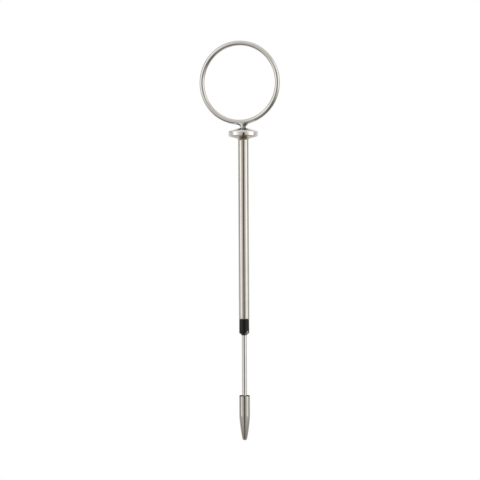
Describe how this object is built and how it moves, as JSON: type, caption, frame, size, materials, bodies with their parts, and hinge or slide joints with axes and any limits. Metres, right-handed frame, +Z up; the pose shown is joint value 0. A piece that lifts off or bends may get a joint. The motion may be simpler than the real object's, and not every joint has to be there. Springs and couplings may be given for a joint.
{
  "type": "ring-handled inoculating loop",
  "caption": "Slim steel laboratory tool: a large finger ring on a rod that slides and turns in a flanged tube with a black guide bush, ending in a bullet-shaped nose.",
  "frame": {"origin": "on the tube's axis, where its full diameter starts under the braze of the finger flange", "axes": "+Z up the tube towards the finger ring, +X along the ring's plane, +Y through the ring"},
  "size_m": [0.0421, 0.0146, 0.1999],
  "materials": {
    "polished_steel": "polished turned stainless steel",
    "satin_tube": "drawn tube, fine lengthwise grain",
    "tinted_braze": "heat-tinted silver braze, brown to straw",
    "guide_plastic": "plain moulded",
    "bush_plastic": "black, satin moulded",
    "wiper_rubber": "black rubber",
    "collar_plastic": "natural nylon",
    "bright_rod": "bright drawn stainless steel",
    "ring_wire": "polished round stainless wire",
    "silver_braze": "silver braze, dressed smooth",
    "turned_nose": "turned and buffed, darker towards the tip",
    "solder": "solder fillet"
  },
  "bodies": {
    "barrel": {"finger_flange": "polished_steel", "handle_tube": "satin_tube", "flange_braze": "tinted_braze", "upper_guide": "guide_plastic", "guide_bush": "bush_plastic", "wiper_ring": "wiper_rubber"},
    "collar": {"slide_collar": "collar_plastic"},
    "plunger": {"push_rod": "bright_rod", "finger_ring": "ring_wire", "ring_braze": "silver_braze", "nose": "turned_nose", "nose_solder": "solder"}
  },
  "joints": [
    {"name": "plunger_slide", "type": "slide", "parent": "barrel", "child": "collar", "axis": [0, 0, 1], "range_m": [0, 0.0295]},
    {"name": "plunger_turn", "type": "hinge", "parent": "collar", "child": "plunger", "pos_m": [0, 0, 0], "axis": [0, 0, 1], "continuous": true}
  ]
}
